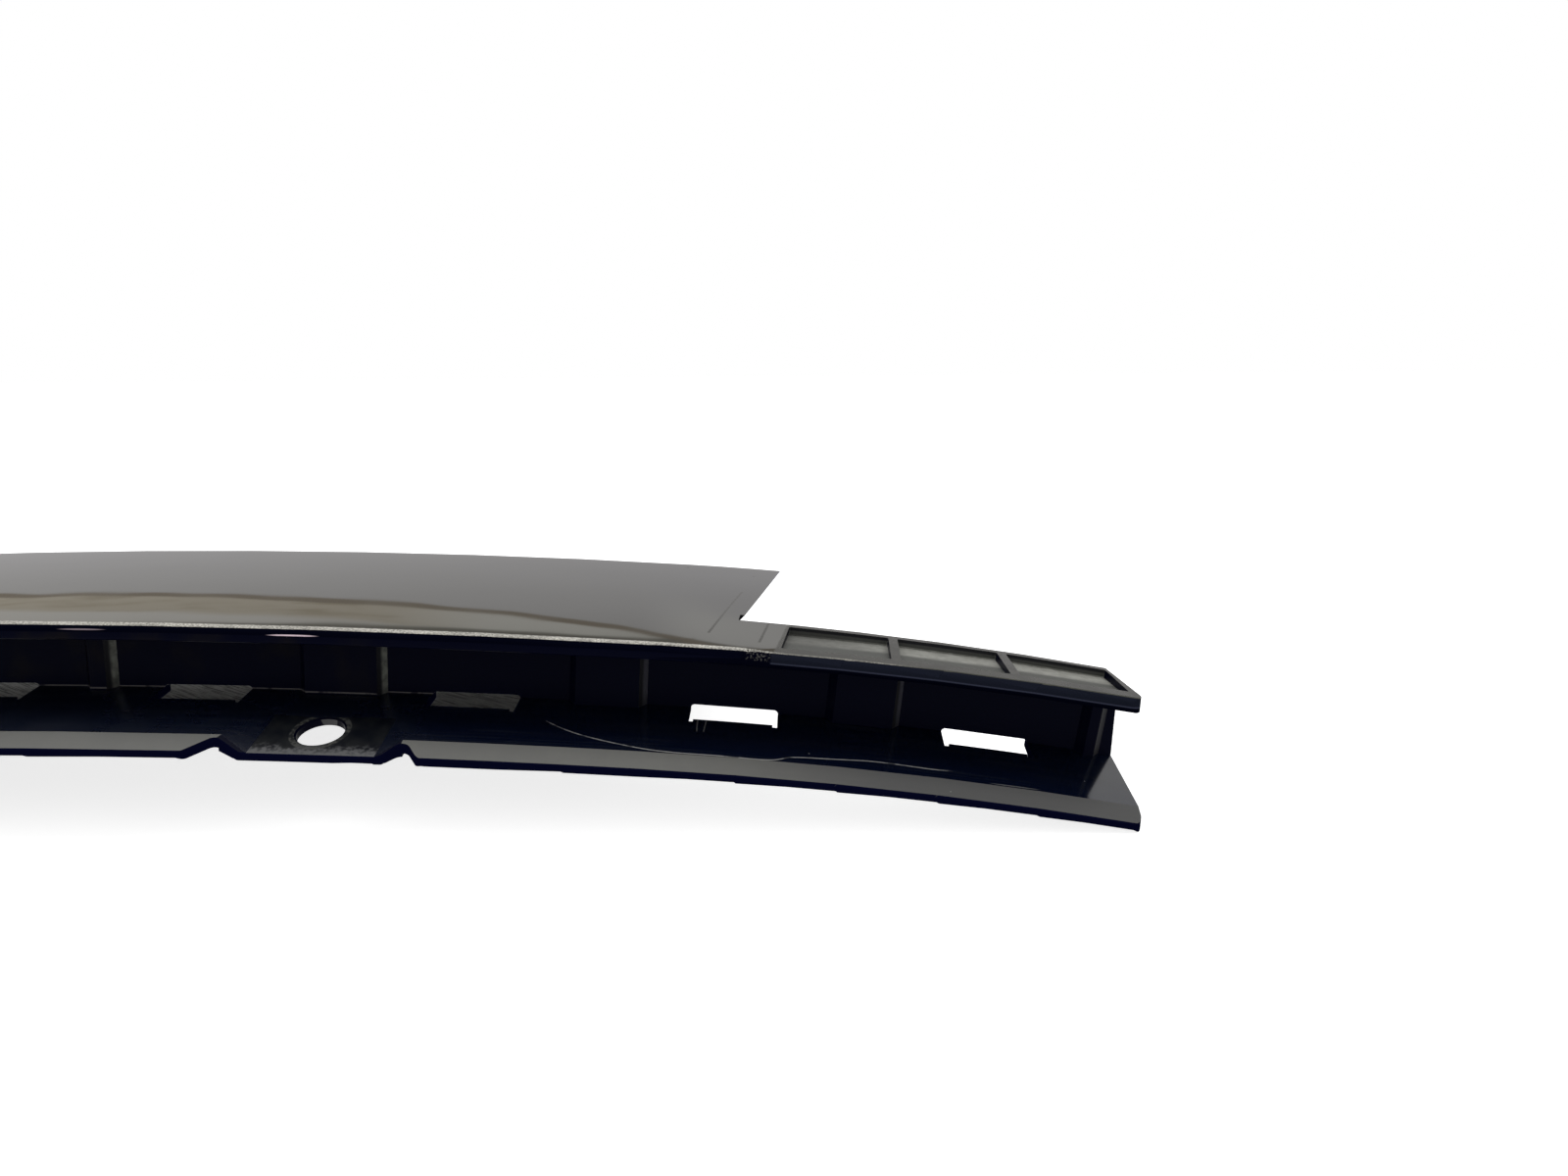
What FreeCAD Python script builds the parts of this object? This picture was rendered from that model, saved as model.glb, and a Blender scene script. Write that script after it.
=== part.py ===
"""Gloss black B-pillar moulding, one injection moulding with a bowed length.

The moulding lies with its outer face up, as it rests on a level floor.
X runs along its length, Y runs from the glass side to the rear edge, +Z is up.
Sections are drawn in their own plane: y from the lip's arris towards the rear,
n square to the outer face. They are carried along two tangent arcs.
"""
import FreeCAD, Part
import math
import os

V = FreeCAD.Vector

# Length, measured along the bow from its crown
LEFT_END = -243.0
RIGHT_END = 237.0
MAIN_BOW_RADIUS = 2100.0
TIP_BOW_RADIUS = 800.0
TIP_BOW_START = 150.0

# Outer panel
PANEL_WIDTH = 96.0
PANEL_WALL = 2.6
PANEL_CROWN = 1.8
PANEL_REAR_RISE = 1.9
PANEL_CROWN_SHARE = 0.88
PANEL_CUT = 166.5
FRONT_RADIUS = 1.2
ARRIS_RADIUS = 0.4
REAR_CORNER_RADIUS = 3.5
REAR_RETURN_DEPTH = 16.0
REAR_RETURN_WALL = 2.2
CORNER_RELIEF_LENGTH = 5.0
CORNER_RELIEF_WIDTH = 0.5

# Slants in plan, in degrees: the rear leans towards the tip at the panel's cut, hardly at the tip
CUT_SKEW = 5.5
CUT_RAKE = 40.0
TIP_SKEW = 0.5
TIP_SQUARING = 6.5
ARM_END_SKEW = -2.2
ARM_OVERHANG = 1.1
ARM_CORNER_RADIUS = 3.2
FLANGE_CORNER_RADIUS = 2.0

# Glass run channel under the glass side of the panel
LIP_REACH = 11.0
WEB_WALL = 1.8
CHANNEL_DEPTH = 14.2
INSIDE_RADIUS = 1.2
PAD_RISE = 1.6
PAD_RAMP = 1.4
PAD_AFTER_SLOT = 17.2
PAD_BEFORE_SLOT = 16.5
TIP_PAD_LENGTH = 4.7

# Lower flange, and its front lip that bends further down
FLANGE_REACH = 15.4
FLANGE_SLOPE = 12.0
FRONT_LIP_REACH = 3.5
FRONT_LIP_SLOPE = 31.0
FLANGE_WALL = 1.5
FLANGE_EDGE_RADIUS = 0.5

# Clip slots through the corner of web and flange, at their places along the bow
CLIP_SLOT_STATIONS = (-204.0, -158.0, -112.0, -62.0, -16.0, 28.7, 68.2, 117.9, 166.0, 213.5)
SLOT_LENGTH = 16.2
SLOT_UP_WEB = 0.5
SLOT_INTO_FLANGE = 4.6
SLOT_CORNER_RADIUS = 0.8
SLOT_NOTCH_WIDTH = 0.9
SLOT_NOTCH_REACH = 0.9

# Screw tabs: the flange runs flat from its rear to its edge, with a hole, between two ramps
SCREW_TAB_STATIONS = (-130.0, 94.9)
SCREW_HOLE_DIAMETER = 7.9
SCREW_HOLE_CHAMFER = 0.25
SCREW_HOLE_FROM_EDGE = 6.55
TAB_REACH = 11.0
TAB_FLAT = (-9.65, 11.55)
TAB_RAMPS = (6.1, 3.9)

# Notches in the front edge beside each hole: place and depth of the peak, reach to either side
LEFT_NOTCH = {"from_hole": -16.4, "before": 4.7, "after": 5.8, "depth": 3.2}
RIGHT_NOTCH = {"from_hole": 15.6, "before": 3.3, "after": 3.4, "depth": 3.7}
NOTCH_RADIUS = 1.8
NOTCH_FOOT_RADIUS = 3.0

# Arm that runs on past the panel's cut, with three moulded pockets
ARM_WIDTH = 24.6
ARM_TIP_WIDTH = 21.4
POCKET_COUNT = 3
POCKET_PITCH = 21.0
POCKET_LENGTH = 19.3
POCKET_DEPTH = 1.4
POCKET_FRONT_FRAME = 4.6
POCKET_REAR_FRAME = 2.2
POCKET_END_FRAME = 1.3
POCKET_CORNER_RADIUS = 0.4

# Ribs under the panel
RIB_WALL = 1.4
RIB_HEIGHT = 3.5
LONG_RIB_AT = 52.0
LONG_RIB_SHORT_BY = 10.0

# How far cutting tools run past the faces that they cut, and the least gap that they keep
PAST = 5.0
CLEAR = 0.02


def bow_angle(s):
    """Angle of the bow below level at a length s along it, in radians."""
    main = min(s, TIP_BOW_START) / MAIN_BOW_RADIUS
    tip = max(s - TIP_BOW_START, 0.0) / TIP_BOW_RADIUS
    return main + tip


def bow_centre(s):
    """Centre and radius of the arc that the length s lies on."""
    if s <= TIP_BOW_START:
        return V(0, 0, -MAIN_BOW_RADIUS), MAIN_BOW_RADIUS
    start = bow_angle(TIP_BOW_START)
    inward = MAIN_BOW_RADIUS - TIP_BOW_RADIUS
    centre = V(inward * math.sin(start), 0, inward * math.cos(start) - MAIN_BOW_RADIUS)
    return centre, TIP_BOW_RADIUS


def station(s):
    """Placement of a section plane at a length s along the bow."""
    angle = bow_angle(s)
    centre, radius = bow_centre(s)
    point = centre + V(math.sin(angle), 0, math.cos(angle)) * radius
    return FreeCAD.Placement(point, FreeCAD.Rotation(V(0, 1, 0), math.degrees(angle)))


def rounded(points, radii):
    """Face over coplanar points, each corner rounded by its radius."""
    ends = []
    for i, corner in enumerate(points):
        before = (points[i - 1] - corner).normalize()
        after = (points[(i + 1) % len(points)] - corner).normalize()
        if radii[i] == 0:
            ends.append((corner, None, corner))
            continue
        half = before.getAngle(after) / 2
        setback = radii[i] / math.tan(half)
        middle = (before + after).normalize() * (radii[i] / math.sin(half) - radii[i])
        ends.append((corner + before * setback, corner + middle, corner + after * setback))
    edges = []
    for i, (start, middle, end) in enumerate(ends):
        if middle is not None:
            edges.append(Part.Arc(start, middle, end).toShape())
        edges.append(Part.LineSegment(end, ends[(i + 1) % len(ends)][0]).toShape())
    return Part.Face(Part.Wire(edges))


def section(corners):
    """Face in the section plane from corners (y, n, radius)."""
    return rounded([V(0, y, n) for y, n, radius in corners], [radius for y, n, radius in corners])


def carry(face, start, end):
    """Solid of a section carried along the bow from start to end."""
    stops = [start, end]
    if start < TIP_BOW_START < end:
        stops.insert(1, TIP_BOW_START)
    solids = []
    for s0, s1 in zip(stops, stops[1:]):
        placed = face.copy()
        placed.Placement = station(s0)
        centre = bow_centre((s0 + s1) / 2)[0]
        turn = math.degrees(bow_angle(s1) - bow_angle(s0))
        solids.append(placed.revolve(centre, V(0, 1, 0), turn))
    return solids[0].fuse(solids[1:]) if len(solids) > 1 else solids[0]


def plan_prism(points, low, high, at, radii=None):
    """Prism over points (x, y) of the plane at a station, from n = low to n = high."""
    face = rounded([V(x, y, low) for x, y in points], radii or [0] * len(points))
    prism = face.extrude(V(0, 0, high - low))
    prism.Placement = station(at)
    return prism


def profile_prism(corners, start, end, at):
    """Prism of a profile (y, n), straight along x between two distances from a station."""
    face = rounded([V(start, y, n) for y, n in corners], [0] * len(corners))
    prism = face.extrude(V(end - start, 0, 0))
    prism.Placement = station(at)
    return prism


WEB_FRONT = LIP_REACH + PAD_RISE
WEB_BACK = WEB_FRONT + WEB_WALL
CREASE = LIP_REACH - FLANGE_REACH
FLANGE_FRONT = CREASE - FRONT_LIP_REACH
FLANGE_FALL = FLANGE_WALL / math.cos(math.radians(FLANGE_SLOPE))
FRONT_LIP_FALL = FLANGE_WALL / math.cos(math.radians(FRONT_LIP_SLOPE))
FLANGE_RISE = math.tan(math.radians(FLANGE_SLOPE))
FRONT_LIP_RISE = math.tan(math.radians(FRONT_LIP_SLOPE))


def crown_height(y):
    """Height of the outer face over the lip's arris, along its two tangents."""
    half = PANEL_WIDTH / 2
    if y < half:
        return PANEL_CROWN * y / half
    return PANEL_CROWN + (PANEL_REAR_RISE - PANEL_CROWN) * (y - half) / half


def panel_under(y):
    """Height of the panel's underside."""
    return crown_height(y) - PANEL_WALL


def crown_radius():
    """Radius of the crown's arc, which takes up nearly the whole width of the panel."""
    half = PANEL_WIDTH / 2
    turn = math.atan(PANEL_CROWN / half) - math.atan((PANEL_REAR_RISE - PANEL_CROWN) / half)
    return PANEL_CROWN_SHARE * half / math.tan(turn / 2)


def flange_top(y):
    """Height of the flange's upper face, on either side of its crease."""
    crease = -CHANNEL_DEPTH - FLANGE_REACH * FLANGE_RISE
    return crease + (y - CREASE) * (FLANGE_RISE if y > CREASE else FRONT_LIP_RISE)


TAB_REAR = FLANGE_FRONT + TAB_REACH
TAB_RISE = (flange_top(TAB_REAR) - flange_top(FLANGE_FRONT)) / TAB_REACH
TAB_WALL = FLANGE_WALL
TAB_FALL = TAB_WALL / math.cos(math.atan(TAB_RISE))
FLANGE_BOTTOM = flange_top(FLANGE_FRONT) - FRONT_LIP_FALL


def tab_top(y):
    """Height of a screw tab's flat, which joins the flange's rear to its front edge."""
    return flange_top(FLANGE_FRONT) + (y - FLANGE_FRONT) * TAB_RISE


def arm_rear(s):
    """Depth of the arm's rear edge, which tapers from the panel's cut to the tip."""
    share = (s - PANEL_CUT) / (RIGHT_END - PANEL_CUT)
    return ARM_WIDTH + (ARM_TIP_WIDTH - ARM_WIDTH) * share


def lean(s):
    """Slope in plan of what crosses the length at s: the rear leans towards the tip."""
    share = (s - PANEL_CUT) / (RIGHT_END - PANEL_CUT)
    return math.tan(math.radians(CUT_SKEW + (TIP_SKEW - CUT_SKEW) * share))


def channel_corners():
    """Corners from the web's back round the flange to the lip's lower edge."""
    under_crease = CREASE + (FRONT_LIP_FALL - FLANGE_FALL) / (FRONT_LIP_RISE - FLANGE_RISE)
    return [
        (WEB_BACK, panel_under(WEB_BACK), INSIDE_RADIUS),
        (WEB_BACK, flange_top(WEB_BACK) - FLANGE_FALL, ARRIS_RADIUS),
        (under_crease, flange_top(under_crease) - FLANGE_FALL, 0),
        (FLANGE_FRONT, FLANGE_BOTTOM, FLANGE_EDGE_RADIUS),
        (FLANGE_FRONT, flange_top(FLANGE_FRONT), FLANGE_EDGE_RADIUS),
        (CREASE, flange_top(CREASE), 0),
        (WEB_FRONT, flange_top(WEB_FRONT), 0),
        (WEB_FRONT, panel_under(WEB_FRONT), 0),
        (0, -PANEL_WALL, ARRIS_RADIUS),
    ]


def panel_section():
    """Section through the panel, the channel and the rear return."""
    half = PANEL_WIDTH / 2
    inner_rear = PANEL_WIDTH - REAR_RETURN_WALL
    corners = [
        (0, 0, FRONT_RADIUS),
        (half, PANEL_CROWN, crown_radius()),
        (PANEL_WIDTH, PANEL_REAR_RISE, REAR_CORNER_RADIUS),
        (PANEL_WIDTH, -REAR_RETURN_DEPTH, 0),
        (inner_rear, -REAR_RETURN_DEPTH, 0),
        (inner_rear, panel_under(PANEL_WIDTH), INSIDE_RADIUS),
        (half, panel_under(half), 0),
    ]
    return section((corners + channel_corners())[::-1])


def panel_cut():
    """Everything past the panel's skewed end and behind the arm; the end rakes back below its edge."""
    wide = PANEL_WIDTH + PAST
    relief_end = ARM_WIDTH + CORNER_RELIEF_LENGTH
    corner = ARM_WIDTH * lean(PANEL_CUT)
    beyond = RIGHT_END - PANEL_CUT + 8 * PAST
    points = [
        (beyond, arm_rear(PANEL_CUT + beyond)),
        (-CORNER_RELIEF_WIDTH, ARM_WIDTH),
        (-CORNER_RELIEF_WIDTH, relief_end),
        (relief_end * lean(PANEL_CUT) - corner, relief_end),
        (wide * lean(PANEL_CUT) - corner, wide),
        (beyond, wide),
    ]
    low = FLANGE_BOTTOM - PAST
    high = PANEL_CROWN + PAST
    rake = math.tan(math.radians(CUT_RAKE))
    back = (low - PANEL_CROWN) * rake
    face = rounded([V(x + back, y, low) for x, y in points], [0] * len(points))
    prism = face.extrude(V((high - low) * rake, 0, high - low))
    prism.Placement = station(PANEL_CUT)
    return prism


def pads():
    """Spans of the web that stand forward: one between each two clip slots and one at the tip."""
    slots = CLIP_SLOT_STATIONS
    spans = [(a + PAD_AFTER_SLOT, b - PAD_BEFORE_SLOT) for a, b in zip(slots, slots[1:])]
    last = slots[-1] + PAD_AFTER_SLOT
    spans.append((last, last + TIP_PAD_LENGTH))
    return spans


def pad_prism(start, end, front, low, high):
    """Pad that stands forward by its rise at a given depth, with a ramp at each end."""
    half = (end - start) / 2
    back = front + PAD_RISE
    points = [(PAD_RAMP - half, front), (half - PAD_RAMP, front), (half, back), (-half, back)]
    return plan_prism(points, low, high, (start + end) / 2)


def with_pads(body):
    """Bring the web forward at each pad, at an even wall."""
    low = flange_top(LIP_REACH) - FLANGE_WALL / 2
    high = -PANEL_WALL / 2
    hollow_low = flange_top(WEB_BACK) + INSIDE_RADIUS
    hollow_high = panel_under(WEB_BACK) - INSIDE_RADIUS
    narrow = WEB_WALL / 2
    for start, end in pads():
        body = body.fuse(pad_prism(start, end, LIP_REACH, low, high))
        back = WEB_BACK - PAD_RISE
        body = body.cut(pad_prism(start + narrow, end - narrow, back, hollow_low, hollow_high))
    return body


def clip_slot(at):
    """Slot through the foot of the web and the rear of the flange, with a notch at each end."""
    front = WEB_FRONT - SLOT_INTO_FLANGE
    notch = front - SLOT_NOTCH_REACH
    half = SLOT_LENGTH / 2
    inner = half - SLOT_NOTCH_WIDTH
    top = flange_top(WEB_FRONT) + SLOT_UP_WEB
    points = [
        (-half, notch), (-inner, notch), (-inner, front), (inner, front),
        (inner, notch), (half, notch), (half, WEB_FRONT), (-half, WEB_FRONT),
    ]
    corners = [(-half, FLANGE_BOTTOM), (half, FLANGE_BOTTOM), (half, top), (-half, top)]
    window = rounded([V(x, front, n) for x, n in corners], [0, 0] + [SLOT_CORNER_RADIUS] * 2)
    through_web = window.extrude(V(0, WEB_BACK + PAST - front, 0))
    through_web.Placement = station(at)
    return plan_prism(points, FLANGE_BOTTOM, top, at).fuse(through_web)


def tab_notch(at, notch):
    """Rounded notch in the flange's front edge beside a screw tab."""
    before = -notch["before"]
    after = notch["after"]
    edge = FLANGE_FRONT - CLEAR
    points = [
        (before - PAST, FLANGE_FRONT - PAST), (after + PAST, FLANGE_FRONT - PAST),
        (after + PAST, edge), (after, edge), (0, FLANGE_FRONT + notch["depth"]),
        (before, edge), (before - PAST, edge),
    ]
    radii = [0, 0, 0, NOTCH_FOOT_RADIUS, NOTCH_RADIUS, NOTCH_FOOT_RADIUS, 0]
    return plan_prism(points, FLANGE_BOTTOM - PAST, FLANGE_BOTTOM + PAST, at + notch["from_hole"], radii)


def tab_plate(at):
    """Plate that keeps the wall under a screw tab's flat and its ramps."""
    front = FLANGE_FRONT + 2 * FLANGE_EDGE_RADIUS
    rear = TAB_REAR + TAB_WALL
    inside = TAB_FALL / 4
    corners = [
        (rear, tab_top(rear) - inside, 0),
        (front, tab_top(front) - inside, 0),
        (front, tab_top(front) - TAB_FALL, 0),
        (rear, tab_top(rear) - TAB_FALL, 0),
    ]
    return carry(section(corners), at + TAB_FLAT[0] - TAB_RAMPS[0], at + TAB_FLAT[1] + TAB_RAMPS[1])


def tab_clearing(at):
    """What a screw tab takes off the flange's crease: a flat with a ramp at either end."""
    crease_rise = (flange_top(CREASE) - tab_top(CREASE)) * math.cos(math.atan(TAB_RISE))
    spread = PAST / crease_rise
    start = -SCREW_HOLE_FROM_EDGE - PAST
    corners = [
        (TAB_FLAT[0], 0),
        (TAB_FLAT[1], 0),
        (TAB_FLAT[1] + TAB_RAMPS[1] * spread, PAST),
        (TAB_FLAT[0] - TAB_RAMPS[0] * spread, PAST),
    ]
    face = rounded([V(x, start, n) for x, n in corners], [0] * len(corners))
    tool = face.extrude(V(0, TAB_REACH + 1.5 * PAST, 0))
    tool.Placement = tab_face(at)
    return tool


def tab_face(at):
    """Placement on a screw tab's flat at its hole, z along the hole's axis."""
    y = FLANGE_FRONT + SCREW_HOLE_FROM_EDGE
    slope = FreeCAD.Rotation(V(1, 0, 0), math.degrees(math.atan(TAB_RISE)))
    return station(at).multiply(FreeCAD.Placement(V(0, y, tab_top(y)), slope))


def screw_hole(at):
    """Hole through a screw tab, with its rim chamfered."""
    radius = SCREW_HOLE_DIAMETER / 2
    rim = 2 * SCREW_HOLE_CHAMFER
    hole = Part.makeCylinder(radius, 2 * PAST, V(0, 0, -PAST))
    chamfer = Part.makeCone(radius, radius + rim, rim, V(0, 0, -SCREW_HOLE_CHAMFER))
    tool = hole.fuse(chamfer)
    tool.Placement = tab_face(at)
    return tool


def pocket(index):
    """Shallow pocket in the arm's top, counted from the tip, leaning with the arm."""
    end = RIGHT_END - POCKET_END_FRAME - index * POCKET_PITCH
    start = end - POCKET_LENGTH
    middle = (start + end) / 2
    front = POCKET_FRONT_FRAME
    across = (front + arm_rear(middle)) / 2
    points = []
    for s, deep in ((start, False), (end, False), (end, True), (start, True)):
        y = arm_rear(s) - POCKET_REAR_FRAME if deep else front
        points.append((s - middle + (y - across) * lean(s), y))
    floor = crown_height(across) - POCKET_DEPTH
    return plan_prism(points, floor, floor + PAST, middle, [POCKET_CORNER_RADIUS] * 4)


def cross_rib(at):
    """Rib across the underside, from the web's back to the rear return."""
    half = PANEL_WIDTH / 2
    rear = PANEL_WIDTH - REAR_RETURN_WALL / 2
    front = WEB_BACK - WEB_WALL / 4
    top = [(y, panel_under(y) + PANEL_WALL / 2) for y in (front, half, rear)]
    bottom = [(y, panel_under(y) - RIB_HEIGHT) for y in (rear, half, front)]
    return profile_prism(top + bottom, -RIB_WALL / 2, RIB_WALL / 2, at)


def long_rib():
    """Rib along the underside of the panel."""
    side = RIB_WALL / 2
    top = panel_under(LONG_RIB_AT) + PANEL_WALL / 2
    low = panel_under(LONG_RIB_AT) - RIB_HEIGHT
    corners = [(-side, low, 0), (side, low, 0), (side, top, 0), (-side, top, 0)]
    face = section([(LONG_RIB_AT + y, n, radius) for y, n, radius in corners])
    return carry(face, LEFT_END, PANEL_CUT - LONG_RIB_SHORT_BY)


def tip_cut():
    """What lies past the tip: the arm's top reaches a little further than the web and the flange."""
    width = ARM_WIDTH - FLANGE_FRONT + 4 * PAST
    height = 2 * (CHANNEL_DEPTH + 4 * PAST)
    front = FLANGE_FRONT - 2 * PAST
    middle = CHANNEL_DEPTH / 2
    corners = [(front, -height), (width, -height), (width, panel_under(width)), (front, panel_under(front))]
    under_arm = section([(y, n + middle + CLEAR, 0) for y, n in corners]).extrude(V(4 * PAST, 0, 0))
    lower = under_arm.fuse(tip_corner(0, FLANGE_FRONT, FLANGE_CORNER_RADIUS, -height / 2))
    past_arm = Part.makeBox(4 * PAST, width, 2 * height, V(ARM_OVERHANG, front, -height))
    upper = past_arm.fuse(tip_corner(ARM_OVERHANG, 0, ARM_CORNER_RADIUS, 0))
    squared = FreeCAD.Rotation(V(0, 1, 0), -TIP_SQUARING)
    for tool, skew in ((lower, TIP_SKEW), (upper, ARM_END_SKEW)):
        turned = FreeCAD.Rotation(V(0, 0, 1), -skew) * squared
        tool.Placement = station(RIGHT_END).multiply(FreeCAD.Placement(V(0, 0, -middle), turned))
    return [lower, upper]


def tip_corner(end, front, radius, low):
    """What rounds the corner of the end face and a front edge off, above a height."""
    height = CHANNEL_DEPTH + 4 * PAST
    corner = Part.makeBox(radius + PAST, radius + PAST, height, V(end - radius, front - PAST, low))
    keep = Part.makeCylinder(radius, height, V(end - radius, front + radius, low))
    return corner.cut(keep)


def rest_placement():
    """Placement that sets the moulding down on its flange's two ends and its rear corner."""
    front = V(0, FLANGE_FRONT, FLANGE_BOTTOM)
    rear = V(0, PANEL_WIDTH, -REAR_RETURN_DEPTH)
    right = station(RIGHT_END).multVec(front)
    left = station(LEFT_END).multVec(front)
    back = station(LEFT_END).multVec(rear)
    up = (right - left).cross(back - left).normalize()
    return FreeCAD.Placement(V(), FreeCAD.Rotation(up, V(0, 0, 1)))


def moulding():
    """The whole moulding in its resting pose, its origin under the middle of its box."""
    body = carry(panel_section(), LEFT_END, RIGHT_END + PAST).cut(panel_cut())
    body = with_pads(body)
    ribs = [cross_rib((start + end) / 2) for start, end in pads() if end < PANEL_CUT]
    tabs = SCREW_TAB_STATIONS
    body = body.cut([tab_clearing(at) for at in tabs])
    body = body.fuse(ribs + [long_rib()] + [tab_plate(at) for at in tabs])
    cuts = [clip_slot(at) for at in CLIP_SLOT_STATIONS]
    cuts += [tab_notch(at, notch) for at in tabs for notch in (LEFT_NOTCH, RIGHT_NOTCH)]
    cuts += [screw_hole(at) for at in tabs]
    cuts += [pocket(index) for index in range(POCKET_COUNT)]
    body = body.cut(cuts + tip_cut())
    body.Placement = rest_placement()
    box = body.optimalBoundingBox(False)
    body.translate(V(-box.Center.x, -box.Center.y, -box.ZMin))
    return body


if __name__ == "__main__":
    os.makedirs("parts", exist_ok=True)
    part = moulding()
    box = part.optimalBoundingBox(False)
    print("solids", len(part.Solids), "valid", part.isValid(), "volume", round(part.Volume))
    print("size", round(box.XLength, 2), round(box.YLength, 2), round(box.ZLength, 2))
    part.Solids[0].exportStep("parts/pillar_moulding.step")
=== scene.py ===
"""Looks of a gloss black B-pillar moulding: one bowed plastic moulding that lies outer face up.

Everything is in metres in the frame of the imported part: X along the length towards the
arm's tip, Y from the glass side to the rear edge, Z up from the floor. Patterns follow
the moulding's own section, whose places are in millimetres: length along the bow from
its crown, depth from the front arris, and height over the outer face.
"""
import math

import bmesh
import bpy
import numpy as np
from mathutils import Euler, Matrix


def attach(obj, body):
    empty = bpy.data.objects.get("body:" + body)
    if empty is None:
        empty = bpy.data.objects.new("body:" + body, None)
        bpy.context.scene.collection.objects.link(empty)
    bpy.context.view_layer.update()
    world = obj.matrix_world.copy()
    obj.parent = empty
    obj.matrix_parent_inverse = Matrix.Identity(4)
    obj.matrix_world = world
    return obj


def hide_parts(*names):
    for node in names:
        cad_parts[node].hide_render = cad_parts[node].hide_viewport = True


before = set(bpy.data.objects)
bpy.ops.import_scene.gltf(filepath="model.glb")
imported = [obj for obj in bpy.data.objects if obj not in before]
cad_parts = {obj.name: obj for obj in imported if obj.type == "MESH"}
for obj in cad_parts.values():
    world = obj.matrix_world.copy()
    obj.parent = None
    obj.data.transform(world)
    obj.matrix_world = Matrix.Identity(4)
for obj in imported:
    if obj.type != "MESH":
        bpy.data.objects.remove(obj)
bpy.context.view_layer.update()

# The moulded shell. The real piece is one injection moulding in black plastic: a polished
# panel, a channel for the door glass's seal under its front, and a satin arm past its end.
MM = 0.001
REST_PLACE = (3.11018, -43.0449, 35.8046)
REST_TURN = (-2.91361, -0.244642, 0.00622163)
MAIN_BOW = 2100.0
TIP_BOW = 800.0
TIP_BOW_START = 150.0
MERGE = 1e-6
SHARP_ANGLE = math.radians(32)

shell_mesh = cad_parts["pillar_moulding"].data.copy()
joined = bmesh.new()
joined.from_mesh(shell_mesh)
bmesh.ops.remove_doubles(joined, verts=joined.verts, dist=MERGE)
bmesh.ops.dissolve_degenerate(joined, edges=joined.edges, dist=MERGE)
joined.to_mesh(shell_mesh)
joined.free()
shell_mesh.attributes.remove(shell_mesh.attributes["custom_normal"])
shell_mesh.shade_smooth()
shell_mesh.set_sharp_from_angle(angle=SHARP_ANGLE)
shell_mesh.materials.clear()
shell = bpy.data.objects.new("moulded_shell", shell_mesh)
bpy.context.scene.collection.objects.link(shell)
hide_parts("pillar_moulding")
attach(shell, "root")

rest_turn = np.array(Euler([math.radians(a) for a in REST_TURN]).to_matrix())


def in_section(points):
    """Length, depth and height of points in the section's own axes, and the bow's angle there."""
    x, y, z = ((points / MM - REST_PLACE) @ rest_turn).T
    start = TIP_BOW_START / MAIN_BOW
    inward = MAIN_BOW - TIP_BOW
    tip_x = x - inward * math.sin(start)
    tip_z = z - inward * math.cos(start) + MAIN_BOW
    past = np.arctan2(x, z + MAIN_BOW) > start
    angle = np.where(past, np.arctan2(tip_x, tip_z), np.arctan2(x, z + MAIN_BOW))
    along = np.where(past, TIP_BOW_START + TIP_BOW * (angle - start), MAIN_BOW * angle)
    radius = np.where(past, np.hypot(tip_x, tip_z), np.hypot(x, z + MAIN_BOW))
    height = radius - np.where(past, TIP_BOW, MAIN_BOW)
    return np.stack([along, y, height]), angle


def facing_in_section(normals, angle):
    """Directions in the section's own axes, where the bow has turned by an angle."""
    across, deep, up = (normals @ rest_turn).T
    sine, cosine = np.sin(angle), np.cos(angle)
    return across * cosine - up * sine, deep, across * sine + up * cosine


def read(items, name):
    """Vectors of a mesh's points or faces as rows."""
    values = np.zeros(len(items) * 3)
    items.foreach_get(name, values)
    return values.reshape(-1, 3)


section_places = in_section(read(shell_mesh.vertices, "co"))[0]
section = shell_mesh.attributes.new("section", "FLOAT_VECTOR", "POINT")
section.data.foreach_set("vector", section_places.T.ravel())


def node(tree, kind, inputs, **settings):
    """Adds a shader node; an input is a value or the socket that feeds it."""
    made = tree.nodes.new("ShaderNode" + kind)
    for name, value in settings.items():
        setattr(made, name, value)
    for name, value in inputs.items():
        if isinstance(value, bpy.types.NodeSocket):
            tree.links.new(value, made.inputs[name])
        else:
            made.inputs[name].default_value = value
    return made


def maths(tree, operation, *values):
    """Output of a Math node over its values."""
    return node(tree, "Math", dict(enumerate(values)), operation=operation).outputs[0]


def product(tree, *values):
    """Several masks or values multiplied."""
    result = values[0]
    for value in values[1:]:
        result = maths(tree, "MULTIPLY", result, value)
    return result


def most(tree, *masks):
    """The strongest of several masks."""
    strongest = masks[0]
    for mask in masks[1:]:
        strongest = maths(tree, "MAXIMUM", strongest, mask)
    return strongest


def distance(tree, value, middle):
    """How far a value lies from a middle, to either side."""
    return maths(tree, "ABSOLUTE", maths(tree, "SUBTRACT", value, middle))


def ramp(tree, value, low, high, to=(0.0, 1.0)):
    """Smooth change of a value between two levels."""
    inputs = {"Value": value, "From Min": low, "From Max": high, "To Min": to[0], "To Max": to[1]}
    return node(tree, "MapRange", inputs, interpolation_type="SMOOTHSTEP").outputs[0]


def straight_ramp(tree, value, low, high, to=(0.0, 1.0)):
    """Even change of a value between two levels."""
    changed = ramp(tree, value, low, high, to)
    changed.node.interpolation_type = "LINEAR"
    return changed


def fall(tree, value, low, high):
    """Mask that goes smoothly from full to nothing between two levels."""
    return ramp(tree, value, low, high, (1.0, 0.0))


def eased(tree, mask, empty, full):
    """Value that goes smoothly from one to another as a mask fills."""
    return ramp(tree, mask, 0.0, 1.0, (empty, full))


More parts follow.
